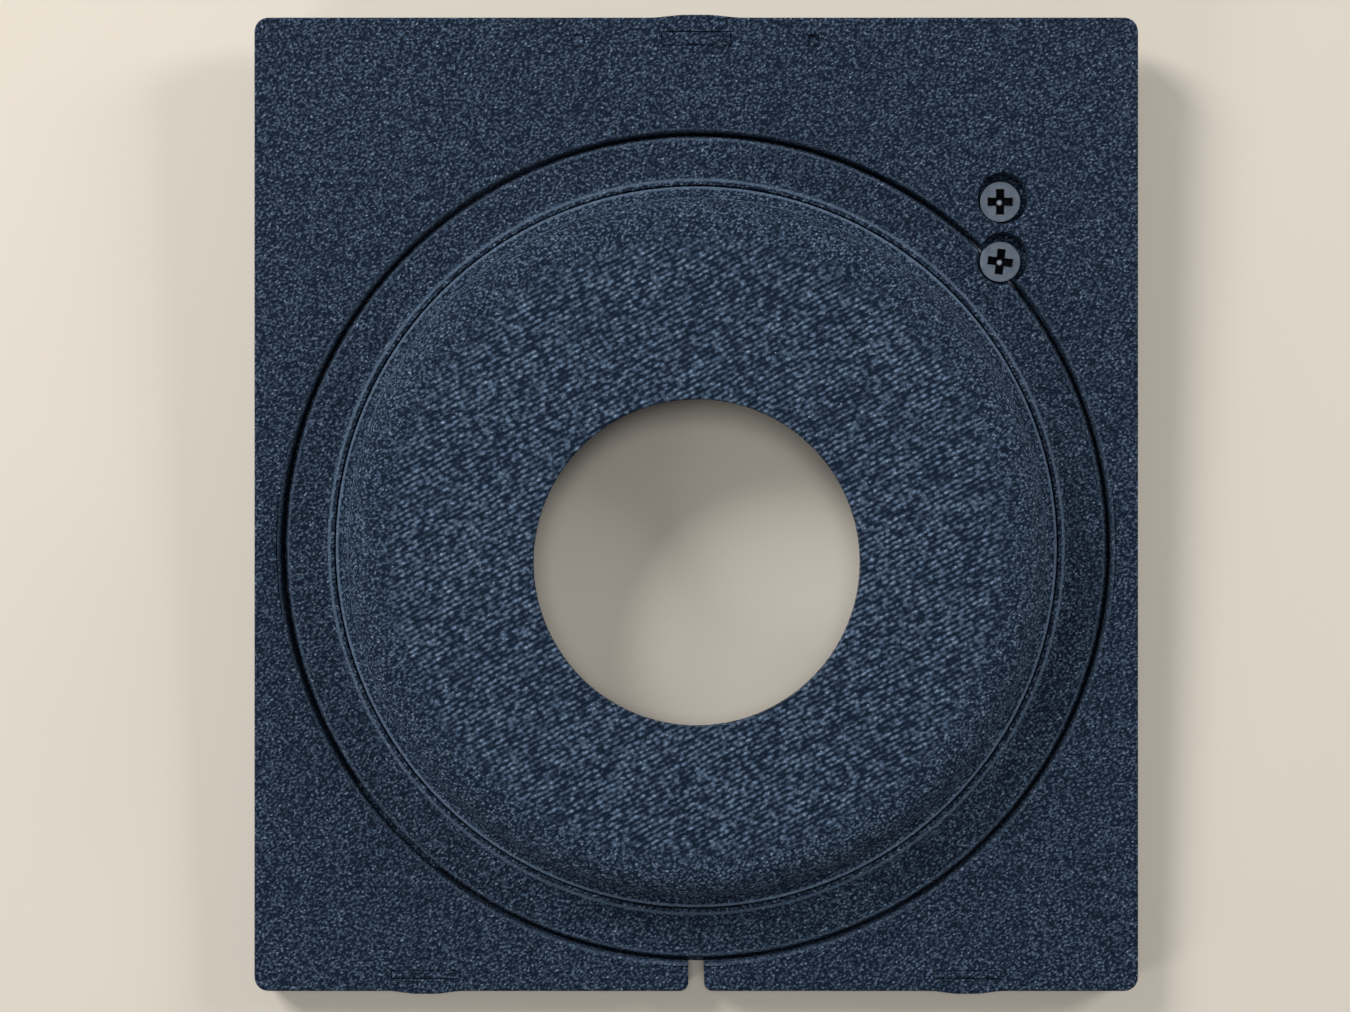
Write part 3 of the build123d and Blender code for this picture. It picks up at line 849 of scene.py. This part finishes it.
def rolled_steel(name, tone, shade, roughness):
    """Heat-coloured or blackened steel, rolled: a faint grain along X and cloudy colour."""
    material, tree = bare_material(name)
    grain = add(tree, NOISE, {"Vector": millimetres(tree, stretch=(0.08, 1, 1)), "Scale": 8.0})
    cloud = add(tree, NOISE, {"Vector": millimetres(tree), "Scale": 0.4, "Detail": 3.0})
    cloud = add(tree, RANGE, {"Value": cloud, "From Min": 0.3, "From Max": 0.7})
    colour_there = add(tree, MIX, {"Factor": cloud, MIX_FIRST: tone,
                                   MIX_SECOND: shade}, MIXED_COLOUR, data_type="RGBA")
    gloss = add(tree, RANGE, {"Value": grain, "From Min": 0.2, "From Max": 0.8,
                              "To Min": roughness - 0.08, "To Max": roughness + 0.1})
    relief = add(tree, BUMP, {"Height": grain, "Strength": 0.4, "Distance": 0.01 * MM})
    shader = add(tree, SHADER, {"Base Color": colour_there, "Roughness": gloss,
                                "Normal": relief, "Metallic": 1.0})
    add(tree, OUTPUT, {"Surface": shader})
    return material


def pressed_felt(name, tone, shade):
    """Pressed wool felt: matt, with short fibres about 0.2 mm thick lying every way."""
    material, tree = bare_material(name)
    fibres = add(tree, NOISE, {"Vector": millimetres(tree), "Scale": 5.5, "Detail": 5.0,
                               "Roughness": 0.75})
    colour_there = add(tree, MIX, {"Factor": fibres, MIX_FIRST: tone,
                                   MIX_SECOND: shade}, MIXED_COLOUR, data_type="RGBA")
    relief = add(tree, BUMP, {"Height": fibres, "Strength": 0.8, "Distance": 0.08 * MM})
    shader = add(tree, SHADER, {"Base Color": colour_there, "Normal": relief,
                                "Roughness": 0.95, "Sheen Weight": 0.4})
    add(tree, OUTPUT, {"Surface": shader})
    return material


def matt_board(name, tone, shade):
    """Plain pale studio board, matt, with the faintest unevenness."""
    material, tree = bare_material(name)
    cloud = add(tree, NOISE, {"Vector": millimetres(tree), "Scale": 1 / 60})
    colour_there = add(tree, MIX, {"Factor": cloud, MIX_FIRST: tone,
                                   MIX_SECOND: shade}, MIXED_COLOUR, data_type="RGBA")
    shader = add(tree, SHADER, {"Base Color": colour_there, "Roughness": 0.85})
    add(tree, OUTPUT, {"Surface": shader})
    return material


# --- operators ---

class MakeCarrierPlate(bpy.types.Operator):
    """Builds the carrier plate"""
    bl_idname = "lens_board.carrier_plate"
    bl_label = "Carrier plate"

    def execute(self, context):
        finish = chosen(context.scene, "finish")
        window = chosen(context.scene, "plate").window
        # the edge bands carry painted highlight
        paint = textured_paint("textured_paint_plate", finish, finish.paint_crest, finish.paint_pit,
                               edges=((window + 0.2, 0.25, 0.15),))
        dress(plate_shell(context.scene), paint, "carrier_plate")
        return {"FINISHED"}


class MakeAdapterRing(bpy.types.Operator):
    """Builds the adapter ring that lies in the plate's window"""
    bl_idname = "lens_board.adapter_ring"
    bl_label = "Adapter ring"

    def execute(self, context):
        finish = chosen(context.scene, "finish")
        sizes = chosen(context.scene, "disc")
        window = chosen(context.scene, "plate").window
        # the edge bands carry painted highlight
        paint = textured_paint(
            "textured_paint_ring", finish, finish.paint_crest, finish.paint_pit,
            edges=((window - 0.85, 0.3, 0.2), (sizes.lip_inner + 0.15, 0.3, 0.35)))
        dress(ring_shell(context.scene), paint, "adapter_ring")
        return {"FINISHED"}


class MakeLensCup(bpy.types.Operator):
    """Builds the raised lens cup"""
    bl_idname = "lens_board.lens_cup"
    bl_label = "Lens cup"

    def execute(self, context):
        finish = chosen(context.scene, "finish")
        sizes = chosen(context.scene, "disc")
        # the edge bands carry painted highlight
        paint = textured_paint(
            "textured_paint_cup", finish, finish.cup_crest, finish.cup_pit,
            edges=((sizes.neck - 0.2, 0.25, 0.5), (sizes.wall + 0.1, 0.2, 0.3)), raster=True)
        dress(cup_shell(context.scene), paint, "lens_cup")
        return {"FINISHED"}


class MakeScrews(bpy.types.Operator):
    """Builds both cross-head screws"""
    bl_idname = "lens_board.screws"
    bl_label = "Screws"

    def execute(self, context):
        finish = chosen(context.scene, "finish")
        turns = {"lock_screw": -7.0, "bar_screw": 0.0}
        for node, turn in turns.items():
            low, high = box_mm(node)
            axis = (low[:2] + high[:2]) / 2
            piece = screw_shape(f"{node}_turned", context.scene, axis, high[2], low[2], turn)
            steel = turned_steel(f"turned_steel_{node}", finish, axis, high[2])
            dress(piece, steel, node)
        return {"FINISHED"}


class MakeEdgeInserts(bpy.types.Operator):
    """Builds the three inserts in the plate's edges"""
    bl_idname = "lens_board.edge_inserts"
    bl_label = "Edge inserts"

    def execute(self, context):
        finish = chosen(context.scene, "finish")
        grained = textured_paint("grained_plastic", finish, finish.paint_crest, finish.paint_pit)
        for node in ("top_edge_insert", "left_edge_insert", "right_edge_insert"):
            dress(insert_shape(f"{node}_block", node), grained, node)
        return {"FINISHED"}


class MakeStagePins(bpy.types.Operator):
    """Builds the two stage pins"""
    bl_idname = "lens_board.stage_pins"
    bl_label = "Stage pins"

    def execute(self, context):
        finish = chosen(context.scene, "finish")
        steel = rolled_steel("blackened_steel", finish.pin_steel, finish.steel_shade, 0.42)
        paint = textured_paint("textured_paint_pins", finish, finish.paint_crest, finish.paint_pit)
        for node in ("left_stage_pin", "right_stage_pin"):
            piece = dress(pin_shape(f"{node}_turned", node), steel, node)
            piece.data.materials.append(paint)
            faces = piece.data.polygons
            middles = np.empty(3 * len(faces), dtype=np.float32)
            faces.foreach_get("center", middles)
            front = middles[2::3] / MM > FACE_Z - 1
            faces.foreach_set("material_index", front.astype(np.int32))
        return {"FINISHED"}


class MakeRearParts(bpy.types.Operator):
    """Builds the retaining ring and finishes the tapped bar and the felt seal"""
    bl_idname = "lens_board.rear_parts"
    bl_label = "Rear parts"

    def execute(self, context):
        finish = chosen(context.scene, "finish")
        blued = rolled_steel("blued_spring_steel", finish.spring_steel, finish.steel_shade, 0.36)
        dress(retainer_shape("cup_retainer_spring"), blued, "cup_retainer")
        felt = pressed_felt("black_felt", finish.felt, finish.fibre)
        for node, material in (("screw_bar", blued), ("seal_ring", felt)):
            mesh = frame["nodes"][node].data
            mesh.materials.clear()
            mesh.materials.append(material)
        return {"FINISHED"}


class MakeStage(bpy.types.Operator):
    """Sets the floor, the soft lights and the camera"""
    bl_idname = "lens_board.stage"
    bl_label = "Stage"

    def execute(self, context):
        finish = chosen(context.scene, "finish")
        lay_floor(matt_board("pale_board", finish.floor, finish.floor_cloud))
        hang_lights(context.scene)
        place_camera(context.scene)
        return {"FINISHED"}


def lay_floor(material):
    """A plane through the pins' free ends and the plate's lower rear edge, on which the board
    rests: height falls evenly from that edge to the pins."""
    pin_low, pin_high = box_mm("left_stage_pin")
    edge_y, pin_y = PLATE_LOW[1], (pin_low[1] + pin_high[1]) / 2
    slope = (pin_low[2] - BACK_Z) / (pin_y - edge_y)
    far = 900.0
    x, y = np.meshgrid([-far, far], [-far, far])
    z = pin_low[2] + slope * (y - pin_y) - 0.02
    mesh = bpy.data.meshes.new("pale_floor")
    mesh.from_pydata((np.stack([x, y, z], -1).reshape(-1, 3) * MM).tolist(), [], [(0, 1, 3, 2)])
    mesh.materials.append(material)
    floor = bpy.data.objects.new("pale_floor", mesh)
    bpy.context.scene.collection.objects.link(floor)


def hang_light(name, place, watts):
    """A square soft light aimed at the middle of the board."""
    lamp = bpy.data.lights.new(name, "AREA")
    lamp.shape, lamp.size, lamp.energy, lamp.color = "SQUARE", 0.28, watts, (1.0, 0.995, 0.985)
    light = bpy.data.objects.new(name, lamp)
    light.location = place
    light.rotation_mode = "QUATERNION"
    light.rotation_quaternion = Vector(-place).to_track_quat("-Z", "Y")
    bpy.context.scene.collection.objects.link(light)


def hang_lights(scene):
    """Four soft lights, as (name, azimuth, elevation, metres away, watts): a low window on the
    upper left, a weaker one on the upper right, a third in front on the left, and the ceiling.
    The room itself is dim."""
    for name, azimuth, elevation, metres, watts in (
            ("window_light", 138, 30, 0.8, 4.9), ("far_window_light", 24, 21, 0.9, 4.2),
            ("near_light", 212, 25, 0.9, 2.0), ("ceiling_light", 90, 84, 0.9, 1.9)):
        around, up = math.radians(azimuth), math.radians(elevation)
        place = np.array([math.cos(up) * math.cos(around), math.cos(up) * math.sin(around),
                          math.sin(up)]) * metres
        hang_light(name, place, watts)
    room = bpy.data.worlds.new("pale_room")
    room.use_nodes = True
    glow = room.node_tree.nodes["Background"].inputs
    glow["Color"].default_value, glow["Strength"].default_value = (0.93, 0.96, 1.0, 1.0), 0.14
    scene.world = room
    scene.view_settings.view_transform = "Standard"


def place_camera(scene):
    """Straight above the board, a little left of the cup's centre and above it. The lens follows
    from the picture's width at the camera's distance: sensor width x distance / width."""
    distance, picture_width = 240.0, 164.8
    left, above = 2.6, 4.99
    data = bpy.data.cameras.new("copy_camera")
    data.sensor_width = 36.0
    data.lens = data.sensor_width * distance / picture_width
    data.clip_start, data.clip_end = 0.01, 10
    camera = bpy.data.objects.new("copy_camera", data)
    place = np.array([CENTRE[0] - left, CENTRE[1] + above, FACE_Z + distance])
    camera.location = (place * MM).tolist()
    scene.collection.objects.link(camera)
    scene.camera = camera


PIECE_MAKERS = (MakeCarrierPlate, MakeAdapterRing, MakeLensCup, MakeScrews, MakeEdgeInserts,
                MakeStagePins, MakeRearParts, MakeStage)


class LensBoardPanel(bpy.types.Panel):
    """Lists the board's pieces and settings"""
    bl_idname = "VIEW3D_PT_lens_board"
    bl_label = "Lens board"
    bl_space_type = "VIEW_3D"
    bl_region_type = "UI"
    bl_category = "Lens board"

    def draw(self, context):
        for maker in PIECE_MAKERS:
            self.layout.operator(maker.bl_idname)
        for group in (context.scene.lens_board_plate, context.scene.lens_board_disc,
                      context.scene.lens_board_screws, context.scene.lens_board_finish):
            box = self.layout.box()
            for name in group.__annotations__:
                box.prop(group, name)


SETTINGS = {"lens_board_plate": LensBoardPlate, "lens_board_disc": LensBoardDisc,
            "lens_board_screws": LensBoardScrews, "lens_board_finish": LensBoardFinish}
CLASSES = (*SETTINGS.values(), *PIECE_MAKERS, LensBoardPanel)


def register():
    """Registers the classes and puts the settings on the scene."""
    for item in CLASSES:
        bpy.utils.register_class(item)
    for name, group in SETTINGS.items():
        setattr(bpy.types.Scene, name, bpy.props.PointerProperty(type=group))


def unregister():
    """Undoes register()."""
    for name in SETTINGS:
        delattr(bpy.types.Scene, name)
    for item in reversed(CLASSES):
        bpy.utils.unregister_class(item)


def main():
    """Registers the add-on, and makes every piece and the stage."""
    register()
    for maker in PIECE_MAKERS:
        family, name = maker.bl_idname.split(".")
        getattr(getattr(bpy.ops, family), name)()


if __name__ == "__main__":
    main()
